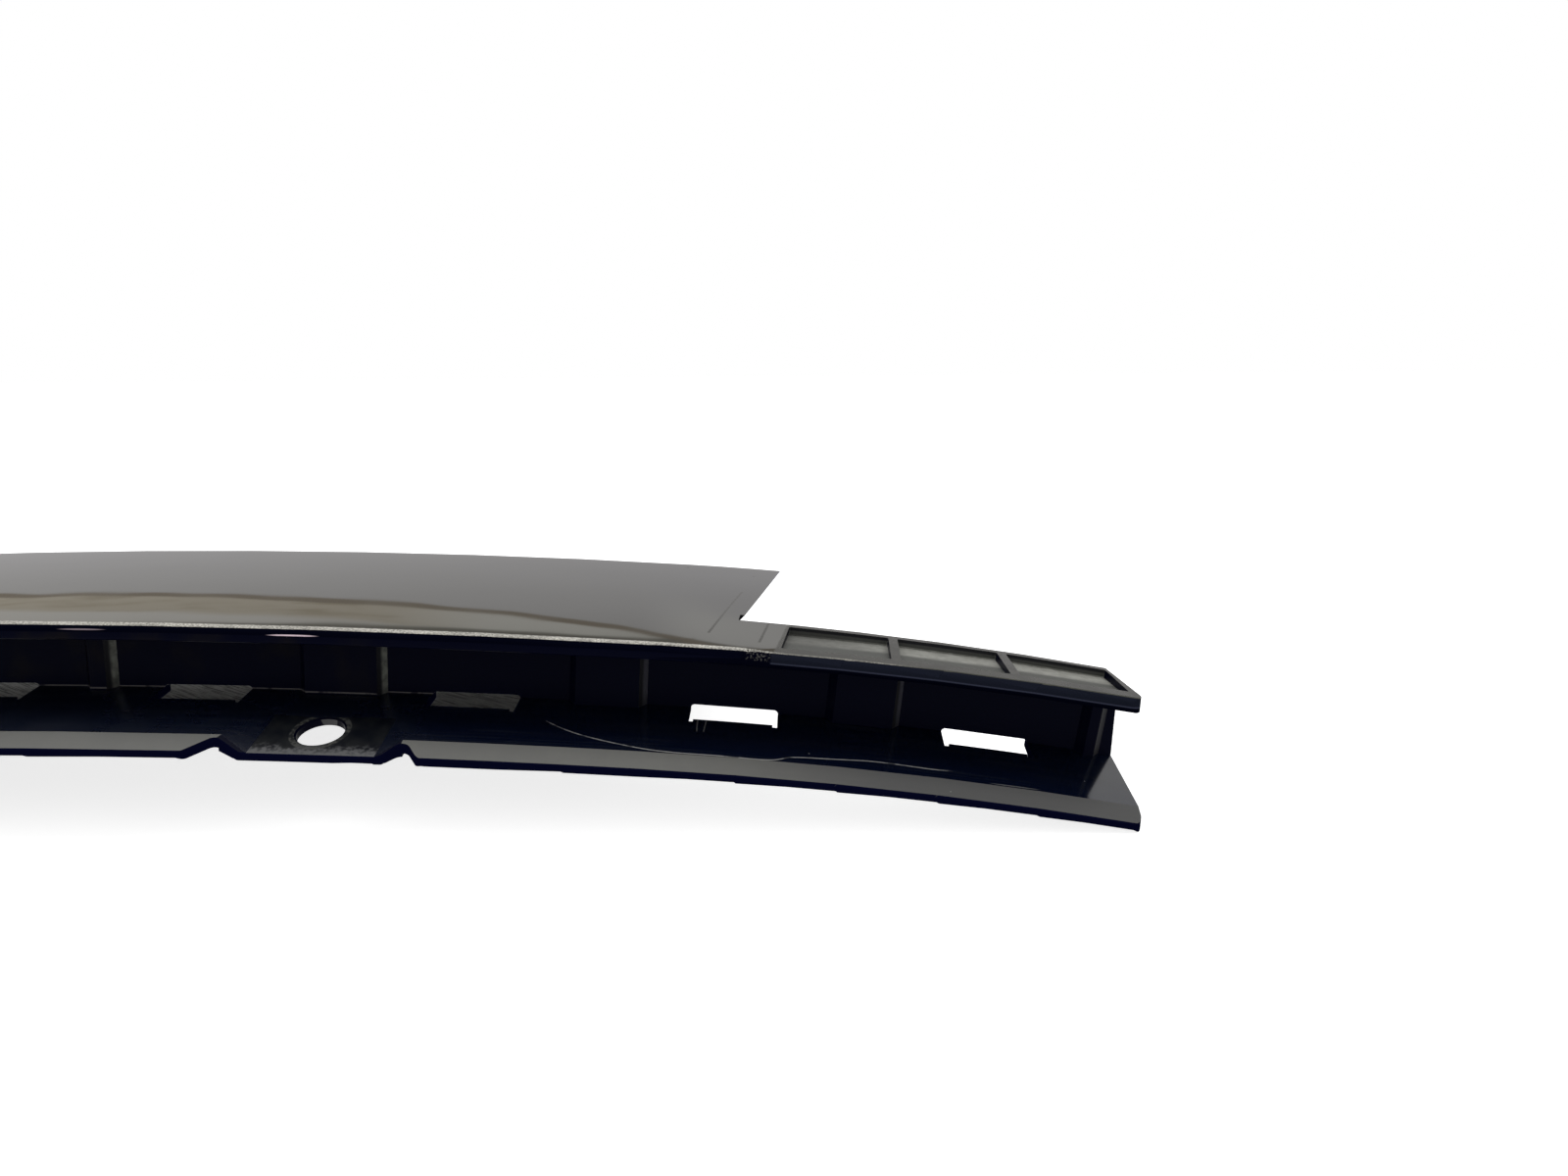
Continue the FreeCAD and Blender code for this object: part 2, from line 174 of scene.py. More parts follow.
def band(tree, value, low, high, soft):
    """Mask that is full between two levels, with soft ends."""
    return product(tree, ramp(tree, value, low - soft, low), fall(tree, value, high, high + soft))


def blend(tree, mask, below, above):
    """Colour between two, by a mask. The colours of a Mix node are its inputs 6 and 7."""
    made = node(tree, "Mix", {0: mask}, data_type="RGBA")
    for socket, colour in ((made.inputs[6], below), (made.inputs[7], above)):
        if isinstance(colour, bpy.types.NodeSocket):
            tree.links.new(colour, socket)
        else:
            socket.default_value = (*colour, 1.0)
    return made.outputs[2]


def new_group(name, sockets, result):
    """Shader group with float and vector inputs and one output; its tree, input and output nodes."""
    tree = bpy.data.node_groups.new(name, "ShaderNodeTree")
    for label, value in sockets.items():
        kind = "NodeSocketVector" if value is None else "NodeSocketFloat"
        made = tree.interface.new_socket(label, in_out="INPUT", socket_type=kind)
        if value is not None:
            made.default_value = value
    tree.interface.new_socket(result, in_out="OUTPUT", socket_type="NodeSocketFloat")
    return tree, tree.nodes.new("NodeGroupInput").outputs, tree.nodes.new("NodeGroupOutput").inputs


def divided(tree, place, *sizes):
    """Place measured in a pattern's own sizes."""
    lengths = node(tree, "CombineXYZ", dict(zip("XYZ", sizes))).outputs[0]
    return node(tree, "VectorMath", {0: place, 1: lengths}, operation="DIVIDE").outputs[0]


# Dust: one speck in a share of evenly spaced cells
specks, given, taken = new_group(
    "dust_specks", {"Place": None, "Spacing": 4.0, "Share": 0.2, "Radius": 0.1}, "Specks"
)
grid = divided(specks, given["Place"], *[given["Spacing"]] * 3)
cell = node(specks, "TexVoronoi", {"Vector": grid, "Scale": 1.0})
chance = node(specks, "SeparateColor", {"Color": cell.outputs["Color"]}).outputs[0]
chosen = maths(specks, "LESS_THAN", chance, given["Share"])
reach = product(specks, cell.outputs["Distance"], given["Spacing"])
near = maths(specks, "LESS_THAN", reach, given["Radius"])
specks.links.new(product(specks, chosen, near), taken["Specks"])

# Rub marks: thin long streaks, where stretched noise is near its middle
NOISE_MIDDLE = 0.5
WIDEST_MARK = 0.25
rubs, given, taken = new_group(
    "rub_marks", {"Place": None, "Length": 40.0, "Width": 0.4, "Share": 0.1}, "Marks"
)
drawn = divided(rubs, given["Place"], given["Length"], given["Width"], given["Width"])
streaks = node(rubs, "TexNoise", {"Vector": drawn, "Scale": 1.0, "Detail": 2.0})
edge = product(rubs, given["Share"], WIDEST_MARK)
thin = maths(rubs, "LESS_THAN", distance(rubs, streaks.outputs[0], NOISE_MIDDLE), edge)
rubs.links.new(thin, taken["Marks"])

# Clouding: soft patches of one size
clouds, given, taken = new_group(
    "clouding", {"Place": None, "Size": 8.0, "Low": 0.4, "High": 0.65}, "Clouds"
)
scaled = divided(clouds, given["Place"], *[given["Size"]] * 3)
noise = node(clouds, "TexNoise", {"Vector": scaled, "Scale": 1.0, "Detail": 4.0})
clouds.links.new(ramp(clouds, noise.outputs[0], given["Low"], given["High"]), taken["Clouds"])


def placed_group(tree, group, place, **values):
    """Output of a group placed in a material with its own values."""
    made = node(tree, "Group", {}, node_tree=group)
    tree.links.new(place, made.inputs["Place"])
    for name, value in values.items():
        made.inputs[name].default_value = value
    return made.outputs[0]


def clouded(tree, place, size, low=0.3, high=0.7):
    """Soft patches of one size over the moulding."""
    return placed_group(tree, clouds, place, Size=size, Low=low, High=high)


ALONG, DEPTH, HEIGHT = range(3)


def new_finish(name, roughness, specular):
    """Plastic of the shell; its tree, shader inputs, place in the section and that place's parts."""
    material = bpy.data.materials.new(name)
    material.use_nodes = True
    tree = material.node_tree
    shader = tree.nodes["Principled BSDF"].inputs
    shader["Roughness"].default_value = roughness
    shader["Specular IOR Level"].default_value = specular
    place = node(tree, "Attribute", {}, attribute_name="section").outputs["Vector"]
    parts = node(tree, "SeparateXYZ", {"Vector": place}).outputs
    shell_mesh.materials.append(material)
    return tree, shader, place, parts


MARK_SOFT = 1.0
SPOT_EDGE = (0.3, 1.0)


def mark(tree, parts, start, end, width):
    """Mask of one straight thin mark between two places (length, depth) of the section."""
    slope = (end[0] - start[0]) / (end[1] - start[1])
    run = product(tree, maths(tree, "SUBTRACT", parts[DEPTH], start[1]), slope)
    off = distance(tree, maths(tree, "SUBTRACT", parts[ALONG], start[0]), run)
    low, high = sorted((start[1], end[1]))
    inside = band(tree, parts[DEPTH], low, high, MARK_SOFT)
    return product(tree, fall(tree, off, width / 2, width), inside)


def spot_at(tree, parts, axes, middle, reach):
    """Mask of one soft oval spot over two of the section's axes."""
    squares = []
    for axis, centre, half in zip(axes, middle, reach):
        share = maths(tree, "DIVIDE", maths(tree, "SUBTRACT", parts[axis], centre), half)
        squares.append(product(tree, share, share))
    return fall(tree, maths(tree, "ADD", *squares), *SPOT_EDGE)


# Upper face of the flange. The real one is moulded glossy, and it carries a long scratch that
# runs out of the channel and along the flange, two ticks, a faint mark and a little dust.
BLACK = (0.0016, 0.0034, 0.0115)
SCUFF = (0.10, 0.105, 0.10)
DUST = (0.26, 0.26, 0.25)
SCRATCH_SPAN = (132.4, 205.2)
SCRATCH_DEPTH = (-6.0, 6.0)
SCRATCH = (
    (132.4, 4.5), (140.8, 1.1), (148.3, -2.8), (154.5, -3.9), (163.6, -4.1),
    (172.8, -4.2), (177.4, -2.6), (185.0, -2.0), (191.3, -1.4), (205.2, -1.6),
)
SCRATCH_WIDTH = (0.08, 0.2)
SCRATCH_SEEN = (134.0, 204.0)
SCRATCH_LEAST = 0.25
TICKS = (((159.7, 4.2), (159.5, 8.4)), ((161.0, 4.2), (161.1, 7.2)))
TICK_WIDTH = 0.16
TICK_SHARE = 0.45
FAINT_PLACE = (216.3, -3.95)
FAINT_REACH = (5.0, 0.2)
FAINT_SHARE = 0.35
STREAK_SHARE = 0.04
FLANGE_HAZE = (0.10, 0.20)
FLANGE_DULLING = (0.15, 0.0)
DULL_UNTIL = (90.0, 140.0)

tree, shader, place, parts = new_finish("flange_black", roughness=0.12, specular=0.5)
route = node(tree, "FloatCurve", {"Value": straight_ramp(tree, parts[ALONG], *SCRATCH_SPAN)})
line = route.mapping.curves[0]
for i, (along, deep) in enumerate(SCRATCH):
    x = (along - SCRATCH_SPAN[0]) / (SCRATCH_SPAN[1] - SCRATCH_SPAN[0])
    y = (deep - SCRATCH_DEPTH[0]) / (SCRATCH_DEPTH[1] - SCRATCH_DEPTH[0])
    if i in (0, len(SCRATCH) - 1):
        line.points[min(i, 1)].location = (x, y)
    else:
        line.points.new(x, y)
route.mapping.update()
scratch_depth = straight_ramp(tree, route.outputs[0], 0.0, 1.0, SCRATCH_DEPTH)
scratch = fall(tree, distance(tree, parts[DEPTH], scratch_depth), *SCRATCH_WIDTH)
broken = eased(tree, clouded(tree, place, 3.0, 0.35, 0.55), SCRATCH_LEAST, 1.0)
scratch = product(tree, scratch, band(tree, parts[ALONG], *SCRATCH_SEEN, 2.0), broken)
dust = placed_group(tree, specks, place, Spacing=5.0, Share=0.10, Radius=0.11)
ticks = most(tree, *[mark(tree, parts, *ends, TICK_WIDTH) for ends in TICKS])
ticks = product(tree, ticks, TICK_SHARE)
faint = spot_at(tree, parts, (ALONG, DEPTH), FAINT_PLACE, FAINT_REACH)
marks = most(tree, scratch, dust, ticks, product(tree, faint, FAINT_SHARE))
streak = placed_group(tree, rubs, place, Length=60.0, Width=1.2, Share=0.12)
colour = blend(tree, product(tree, streak, STREAK_SHARE), BLACK, SCUFF)
tree.links.new(blend(tree, marks, colour, DUST), shader["Base Color"])
haze = eased(tree, clouded(tree, place, 12.0, 0.3, 0.75), *FLANGE_HAZE)
dulling = ramp(tree, parts[ALONG], *DULL_UNTIL, FLANGE_DULLING)
tree.links.new(maths(tree, "ADD", haze, dulling), shader["Roughness"])

# Outer face. The real panel is polished black with hair scratches, two flecks and a little dust,
# and the arm past it is moulded satin, from a slanting line on. The arris over the front is
# painted as rubbed bright but for one scrape, which also stands for the light it catches.
PANEL_BLACK = (0.004, 0.004, 0.003)
SATIN = (0.014, 0.014, 0.012)
CUT_RIM_BLUE = (0.05, 0.06, 0.12)
RUB_AND_HIGHLIGHT = (0.62, 0.60, 0.54)
SATIN_FROM = (172.0, 172.6)
SATIN_SLANT = 0.1
SATIN_DEPTH = (25.5, 26.0)
CUT_RIM_FROM = (163.7, 164.2)
CUT_SLANT = 0.0963
CUT_DEPTH = (25.0, 26.0)
HAIRS = (((160.3, 12.4), (164.6, 55.2)), ((171.2, 24.7), (169.7, 7.9)))
HAIR_WIDTH = 0.35
FLECKS = (((149.5, 86.8), (0.7, 1.2)), ((166.5, 79.4), (0.6, 1.0)))
HAIRS_SHARE = 0.06
DUST_SHARE = 0.2
SCRAPED = 169.7
SCRAPE_REACH = (1.9, 2.3)
SCRAPE_GRIT = (0.3, 0.9)
SCRAPE_SHARE = (0.85, 0.0)
RUB_HIGHLIGHT_FADE = 195.0
RUB_HIGHLIGHT_SOFT = 6.0
GRIT_SIZE = 0.35
GRIT_LEVELS = (0.4, 0.6)
GRIT_LEAST = 0.45
PATCH_SIZE = 6.0
PATCH_LEAST = 0.75
ARRIS_STRETCH = (165.0, 175.0)
ARRIS_DEPTH = (2.7, 1.2)
ARRIS_SHARE = (1.0, 0.5)
ARRIS_SOFT = 0.3
PANEL_GLOSS = (0.02, 0.035)
SATIN_ROUGH = (0.24, 0.34)
HURT_ROUGH = 0.22
RUBBED_ROUGH = 0.5
SINK_DEPTH = 0.0009


def rest(tree, mask):
    """What a mask leaves free."""
    return maths(tree, "SUBTRACT", 1.0, mask)


def leaning(tree, value, other, share):
    """A value less a share of another, so that a level of it is a leaning line."""
    return maths(tree, "SUBTRACT", value, product(tree, other, share))


# Rubbing and painted highlight along the front arris: gritty and uneven, up to where the
# highlight fades, and broken by the scrape
rub_highlight_group, given, taken = new_group("rub_highlight_group", {"Place": None, "Scraped": 170.0, "Fade": 190.0}, "Rub_highlight")
run = node(rub_highlight_group, "SeparateXYZ", {"Vector": given["Place"]}).outputs[ALONG]
grit = clouded(rub_highlight_group, given["Place"], GRIT_SIZE, *GRIT_LEVELS)
patches = clouded(rub_highlight_group, given["Place"], PATCH_SIZE)
scrape = fall(rub_highlight_group, distance(rub_highlight_group, run, given["Scraped"]), *SCRAPE_REACH)
scrape = product(rub_highlight_group, scrape, ramp(rub_highlight_group, grit, *SCRAPE_GRIT, SCRAPE_SHARE))
past = maths(rub_highlight_group, "SUBTRACT", run, given["Fade"])
before_fade = fall(rub_highlight_group, past, -RUB_HIGHLIGHT_SOFT, RUB_HIGHLIGHT_SOFT)
gritty = eased(rub_highlight_group, grit, GRIT_LEAST, 1.0)
uneven = product(rub_highlight_group, gritty, eased(rub_highlight_group, patches, PATCH_LEAST, 1.0))
rub_highlight = product(rub_highlight_group, before_fade, rest(rub_highlight_group, scrape), uneven)
rub_highlight_group.links.new(rub_highlight, taken["Rub_highlight"])

tree, shader, place, parts = new_finish("outer_face", roughness=0.03, specular=0.5)
slanted = leaning(tree, parts[ALONG], parts[DEPTH], SATIN_SLANT)
satin = product(tree, ramp(tree, slanted, *SATIN_FROM), fall(tree, parts[DEPTH], *SATIN_DEPTH))
from_cut = leaning(tree, parts[ALONG], parts[DEPTH], CUT_SLANT)
rim = product(tree, ramp(tree, from_cut, *CUT_RIM_FROM), ramp(tree, parts[DEPTH], *CUT_DEPTH))
hairs = placed_group(tree, rubs, place, Length=30.0, Width=0.5, Share=0.03)
dust = placed_group(tree, specks, place, Spacing=9.0, Share=0.10, Radius=0.16)
# The arris's bright line is painted rubbing and painted highlight.
rub_highlight = placed_group(tree, rub_highlight_group, place, Scraped=SCRAPED, Fade=RUB_HIGHLIGHT_FADE)
rub_highlight_depth = ramp(tree, parts[ALONG], *ARRIS_STRETCH, ARRIS_DEPTH)
past = maths(tree, "SUBTRACT", parts[DEPTH], rub_highlight_depth)
at_arris = fall(tree, past, -ARRIS_SOFT, ARRIS_SOFT)
rub_highlight = product(tree, rub_highlight, at_arris, ramp(tree, parts[ALONG], *ARRIS_STRETCH, ARRIS_SHARE))
colour = blend(tree, product(tree, hairs, HAIRS_SHARE), PANEL_BLACK, SCUFF)
colour = blend(tree, product(tree, dust, DUST_SHARE), colour, DUST)
colour = blend(tree, satin, colour, SATIN)
colour = blend(tree, rim, colour, CUT_RIM_BLUE)
tree.links.new(blend(tree, rub_highlight, colour, RUB_AND_HIGHLIGHT), shader["Base Color"])
hair_marks = [mark(tree, parts, *ends, HAIR_WIDTH) for ends in HAIRS]
flecks = [spot_at(tree, parts, (ALONG, DEPTH), middle, reach) for middle, reach in FLECKS]
hurt = product(tree, most(tree, *hair_marks, *flecks, rim), HURT_ROUGH)
polish = most(tree, eased(tree, clouded(tree, place, 18.0), *PANEL_GLOSS), hurt)
dull = eased(tree, clouded(tree, place, 5.0), *SATIN_ROUGH)
arm_rough = product(tree, satin, dull)
panel_rough = product(tree, rest(tree, satin), polish)
rough = maths(tree, "ADD", arm_rough, panel_rough)
rough = most(tree, rough, product(tree, rub_highlight, RUBBED_ROUGH))
tree.links.new(rough, shader["Roughness"])
sink = node(tree, "TexNoise", {"Vector": place, "Scale": 0.035, "Detail": 1.0})
dent = node(tree, "Bump", {"Height": sink.outputs[0], "Distance": SINK_DEPTH, "Strength": 0.06})
tree.links.new(dent.outputs[0], shader["Normal"])

# Front of the rim and of the arm. The real one is bright along its top, which is painted as
# wear and as a painted highlight, scraped where the arm begins, and black below. The two glints
# that the rim shows are painted highlights. On the arm the navy band and the paler top are
# painted reflection, the pale line low on it is a painted highlight along the lip's real lower
# edge, and the black below that line is painted shade.
RIM_BLACK = (0.0014, 0.0018, 0.0065)
ARM_FRONT_SHEEN = (0.0105, 0.0125, 0.0215)
ARM_FOOT_SHADE = (0.0010, 0.0014, 0.0055)
EDGE_HIGHLIGHT_BLUE = (0.036, 0.040, 0.065)
ARM_TOP_SHEEN = (0.080, 0.080, 0.068)
GLINT = (0.90, 0.72, 0.80)
ARM_FROM = (171.7, 172.1)
RIM_TOP = (-0.13, -0.05)
FOOT_SHADE_UNTIL = (-1.92, -1.74)
EDGE_HIGHLIGHT_BAND = (-1.74, -1.56)
ARM_RUB_HIGHLIGHT_SHARE = 0.55
CHIPS_ALONG = (167.8, 171.6)
CHIPS_HEIGHT = (-1.3, -0.3)
CHIPS_SHARE = 0.10
GLINTS = (((54.0, -0.72), (4.5, 0.15), 0.27), ((90.0, -1.05), (4.8, 0.20), 0.9))
PIT_DEPTH = 0.0001

tree, shader, place, parts = new_finish("front_rim", roughness=0.5, specular=0.0)
arm = ramp(tree, parts[ALONG], *ARM_FROM)
top = ramp(tree, parts[HEIGHT], *RIM_TOP)
rub_highlight = placed_group(tree, rub_highlight_group, place, Scraped=SCRAPED, Fade=RUB_HIGHLIGHT_FADE)
rub_highlight = product(tree, rub_highlight, top, eased(tree, arm, 1.0, ARM_RUB_HIGHLIGHT_SHARE))
grit = clouded(tree, place, GRIT_SIZE, *GRIT_LEVELS)
chips = band(tree, parts[ALONG], *CHIPS_ALONG, 0.3)
chips = product(tree, chips, band(tree, parts[HEIGHT], *CHIPS_HEIGHT, 0.2))
chips = product(tree, chips, ramp(tree, grit, 0.7, 1.0, (0.0, CHIPS_SHARE)))
glints = []
for middle, reach, share in GLINTS:
    glints.append(product(tree, spot_at(tree, parts, (ALONG, HEIGHT), middle, reach), share))
# Painted reflection, highlight and shade on the arm's front, and painted glints on the rim.
colour = blend(tree, ramp(tree, parts[HEIGHT], *FOOT_SHADE_UNTIL), ARM_FOOT_SHADE, ARM_FRONT_SHEEN)
colour = blend(tree, band(tree, parts[HEIGHT], *EDGE_HIGHLIGHT_BAND, 0.06), colour, EDGE_HIGHLIGHT_BLUE)
colour = blend(tree, top, colour, ARM_TOP_SHEEN)
colour = blend(tree, arm, RIM_BLACK, colour)
colour = blend(tree, most(tree, rub_highlight, chips), colour, RUB_AND_HIGHLIGHT)
tree.links.new(blend(tree, most(tree, *glints), colour, GLINT), shader["Base Color"])
pits = node(tree, "Bump", {"Height": grit, "Distance": PIT_DEPTH, "Strength": 0.4})
tree.links.new(pits.outputs[0], shader["Normal"])

# Front lip of the flange. The real lip is moulded satin, duller towards the arm's tip. Its
# darkening there is painted shade, where less light reaches it. Dust lies on it.
STRIP_GREYS = ((0.022, 0.022, 0.015), (0.032, 0.032, 0.023))
STRIP_TIP_SHADE = (0.004, 0.004, 0.003)
STRIP_SHADE_FROM = (155.0, 200.0)
STRIP_DULLS = (150.0, 200.0)
STRIP_ROUGH = (0.36, 0.47)

tree, shader, place, parts = new_finish("front_strip", roughness=0.34, specular=0.55)
colour = blend(tree, clouded(tree, place, 7.0), *STRIP_GREYS)
# Painted shade towards the arm's tip.
colour = blend(tree, ramp(tree, parts[ALONG], *STRIP_SHADE_FROM), colour, STRIP_TIP_SHADE)
dust = placed_group(tree, specks, place, Spacing=6.0, Share=0.12, Radius=0.12)
tree.links.new(blend(tree, dust, colour, DUST), shader["Base Color"])
tree.links.new(ramp(tree, parts[ALONG], *STRIP_DULLS, STRIP_ROUGH), shader["Roughness"])

# Pockets of the arm. The real ones are sunk into its top between low ribs. Their floors are
# rough satin, painted darker towards the panel as shade. Their rear walls are painted darker
# than the floors and darkest at the top, as painted shade.
POCKET_GREYS = ((0.195, 0.195, 0.175), (0.270, 0.270, 0.245))
POCKET_SHADE = (0.06, 0.06, 0.055)
WALL_SHADE_GREY = (0.060, 0.062, 0.056)
WALL_TOP_SHADE = (0.010, 0.010, 0.014)
POCKET_BRIGHTENS = (174.0, 202.0)
POCKET_LEAST = 0.25
ARM_RISE = 0.0375
WALL_SHADE_FROM = (-1.4, -1.3)
WALL_TOP_SHADE_FROM = (-0.75, -0.6)

tree, shader, place, parts = new_finish("pocket_floor", roughness=0.6, specular=0.4)
colour = blend(tree, clouded(tree, place, 1.5), *POCKET_GREYS)
# Painted shade on the floors towards the panel.
bright = ramp(tree, parts[ALONG], *POCKET_BRIGHTENS, (POCKET_LEAST, 1.0))
colour = blend(tree, bright, POCKET_SHADE, colour)
under = leaning(tree, parts[HEIGHT], parts[DEPTH], ARM_RISE)
# Painted shade on the rear walls, darkest at their top.
colour = blend(tree, ramp(tree, under, *WALL_SHADE_FROM), colour, WALL_SHADE_GREY)
colour = blend(tree, ramp(tree, under, *WALL_TOP_SHADE_FROM), colour, WALL_TOP_SHADE)
tree.links.new(colour, shader["Base Color"])

# Front edge of the flange and sides of its openings. They are plain moulded plastic, given
# no gloss, and their blue-black colour is a painted reflection.
NAVY_REFLECTION = (0.0022, 0.0028, 0.016)
shader = new_finish("edge_navy", roughness=0.5, specular=0.0)[1]
# Blue-black painted reflection.
shader["Base Color"].default_value = (*NAVY_REFLECTION, 1.0)

# Flats of the screw tabs. The real ones are mottled satin, with a paler ring round the hole,
# where a screw's head sits. The lighter band along their front is a painted highlight.
TAB_BLACKS = ((0.0030, 0.0038, 0.0070), (0.010, 0.011, 0.0125))
TAB_FRONT_HIGHLIGHT = (0.120, 0.121, 0.124)
TAB_RING = (0.065, 0.066, 0.062)
HOLE_PLACES = (-130.0, 94.9)
HOLE_DEPTH = -1.35
RING_RADII = (4.3, 4.9)
RING_SOFT = 0.25
FRONT_HIGHLIGHT_FADE = (-6.8, -4.2)
FRONT_HIGHLIGHT_SHARE = 0.9
FRONT_HIGHLIGHT_RAGGED = 1.5

tree, shader, place, parts = new_finish("tab_satin", roughness=0.3, specular=0.2)
colour = blend(tree, clouded(tree, place, 3.0, 0.35, 0.65), *TAB_BLACKS)
fine = clouded(tree, place, 0.8, 0.35, 0.65)
ragged = maths(tree, "ADD", parts[DEPTH], product(tree, fine, FRONT_HIGHLIGHT_RAGGED))
# Painted highlight along the tab's front.
colour = blend(tree, ramp(tree, ragged, *FRONT_HIGHLIGHT_FADE, (FRONT_HIGHLIGHT_SHARE, 0.0)), colour, TAB_FRONT_HIGHLIGHT)
rings = []
for hole in HOLE_PLACES:
    squares = []
    for value, middle in ((parts[ALONG], hole), (parts[DEPTH], HOLE_DEPTH)):
        away = maths(tree, "SUBTRACT", value, middle)
        squares.append(product(tree, away, away))
    from_hole = maths(tree, "SQRT", maths(tree, "ADD", *squares))
    rings.append(band(tree, from_hole, *RING_RADII, RING_SOFT))
ring = product(tree, most(tree, *rings), ramp(tree, fine, 0.2, 0.8, (0.15, 1.0)))
tree.links.new(blend(tree, ring, colour, TAB_RING), shader["Base Color"])

# Ramps at the pads' ends. They are matt, and their grey is painted light that their faces
# catch, palest towards the moulding's middle. Painted shade makes them nearly black at the
# arm's tip and darker towards foot and front.
RAMP_LIT_GREYS = ((0.085, 0.090, 0.078), (0.17, 0.175, 0.155))
RAMP_FAR_SHADE = (0.040, 0.040, 0.052)
RAMP_TIP_SHADE = (0.008, 0.008, 0.012)
RAMP_FRONT_SHADE = (0.003, 0.003, 0.006)
RAMP_SHADE_FROM = (108.0, 140.0)
RAMP_TIP_SHADE_FROM = (222.0, 228.0)
RAMP_REAR = (11.5, 12.0)
RAMP_FOOT = (-14.5, -10.5)
FOOT_SHARE = 0.4

tree, shader, place, parts = new_finish("ramp_painted_light", roughness=0.6, specular=0.2)
# Painted light on the ramps' faces, and painted shade along the length, at the foot and at the
# front.
colour = blend(tree, clouded(tree, place, 1.2), *RAMP_LIT_GREYS)
colour = blend(tree, ramp(tree, parts[ALONG], *RAMP_SHADE_FROM), colour, RAMP_FAR_SHADE)
colour = blend(tree, ramp(tree, parts[ALONG], *RAMP_TIP_SHADE_FROM), colour, RAMP_TIP_SHADE)
over_foot = ramp(tree, parts[HEIGHT], *RAMP_FOOT, (FOOT_SHARE, 1.0))
rear = product(tree, ramp(tree, parts[DEPTH], *RAMP_REAR), over_foot)
tree.links.new(blend(tree, rear, RAMP_FRONT_SHADE, colour), shader["Base Color"])

# Back of the panel and channel. It is hidden once the moulding is fitted, and is taken as
# plain moulded plastic, a little cloudy.
BACK_GREYS = ((0.009, 0.009, 0.010), (0.016, 0.016, 0.017))
tree, shader, place, parts = new_finish("back_moulded", roughness=0.42, specular=0.4)
colour = blend(tree, clouded(tree, place, 10.0), *BACK_GREYS)
tree.links.new(colour, shader["Base Color"])

# Web and walls of the channel, and walls of the pockets. The real ones are deep black with
# faint brownish clouds. The pale, broken line along the web's foot is a painted highlight,
# for the light that the ledge there catches.
WEB_BLACK = (0.0006, 0.0011, 0.0082)
WEB_BROWN = (0.0052, 0.0046, 0.0070)
FOOT_HIGHLIGHT = (0.10, 0.095, 0.095)
BROWN_UNTIL = (90.0, 120.0)
FOOT_HIGHLIGHT_SPAN = (34.0, 111.0)
FOOT_HIGHLIGHT_LINE = (-13.92, -13.70)

tree, shader, place, parts = new_finish("web_black", roughness=0.3, specular=0.02)
brown = clouded(tree, place, 9.0, 0.45, 0.75)
brown = product(tree, brown, fall(tree, parts[ALONG], *BROWN_UNTIL))
colour = blend(tree, brown, WEB_BLACK, WEB_BROWN)
broken = eased(tree, clouded(tree, place, 2.5, 0.35, 0.5), 0.2, 0.9)
# Painted highlight along the web's foot.
foot_highlight = band(tree, parts[HEIGHT], *FOOT_HIGHLIGHT_LINE, 0.06)
foot_highlight = product(tree, foot_highlight, band(tree, parts[ALONG], *FOOT_HIGHLIGHT_SPAN, 2.0), broken)
tree.links.new(blend(tree, foot_highlight, colour, FOOT_HIGHLIGHT), shader["Base Color"])

# Each face of the shell takes its finish from its place and direction in the section.
# Directions are shares of one, so a face that is 0.9 upward is nearly flat.
WEB_FRONT = 12.7
WEB_BACK = 14.45
OUTER_LOWEST = -0.9
PANEL_REAR = 92.4
ROOF_UNDER = -2.75
CHANNEL_FLOOR = -12.5
FLANGE_LOW = -15.5
FLANGE_FRONT = -4.0
RIM_BACK = 1.3
RIM_LOWEST = -1.35
RIM_WHOLE_FROM = 160.0
TIP_FROM = 230.0
TIP_DEPTH = 3.5
ARM_START = 172.0
ARM_END = 235.9
POCKET_DEPTHS = (4.4, 21.0)
POCKET_WALLS = (-1.5, -0.3)
POCKET_FLOORS = (-2.0, -1.0)
REAR_WALL_START = 171.0
REAR_WALL_DEPTHS = (12.0, 23.5)
REAR_WALL_HEIGHTS = (-1.7, 0.1)
STRIP_LOW = -16.0
STRIP_LEAN = -0.515
TAB_LEANS = (-0.40, -0.27)
TAB_REACH = (-15.8, 15.3)
RAMP_DEPTHS = (10.9, WEB_FRONT)
RAMP_HEIGHTS = (-13.4, -2.5)
OPENING_TOP = -13.0
OPENING_DEPTHS = (6.5, 14.6)
FLANGE, OUTER, RIM, STRIP, POCKET, EDGE, TAB, RAMP, BACK, WEB = range(10)


def within(values, low, high):
    """Which values lie between two levels."""
    return (values > low) & (values < high)


middles, angles = in_section(read(shell_mesh.polygons, "center"))
along, deep, height = middles
ahead, rearward, upward = facing_in_section(read(shell_mesh.polygons, "normal"), angles)
under_top = height - ARM_RISE * deep
finish = np.full(len(along), WEB)
web_rear = (deep > WEB_FRONT) & (rearward > 0.5)
flange_under = (height < FLANGE_LOW) & (upward < -0.3)
finish[(deep > WEB_BACK) | web_rear | flange_under] = BACK
finish[(height < CHANNEL_FLOOR) & (upward > 0.9) & (deep < WEB_FRONT)] = FLANGE
rear_corner = (deep > PANEL_REAR) & (rearward > 0.2) & (upward > -0.1)
finish[(height > OUTER_LOWEST) & (upward > 0.6) | rear_corner] = OUTER
front = (deep < RIM_BACK) & (height > ROOF_UNDER) & (rearward < -0.05) & (upward < 0.998)
finish[front & ((height > RIM_LOWEST) & (upward > 0.04) | (along > RIM_WHOLE_FROM))] = RIM
finish[(along > TIP_FROM) & (height > ROOF_UNDER) & (ahead > 0.5) & (deep < TIP_DEPTH)] = RIM
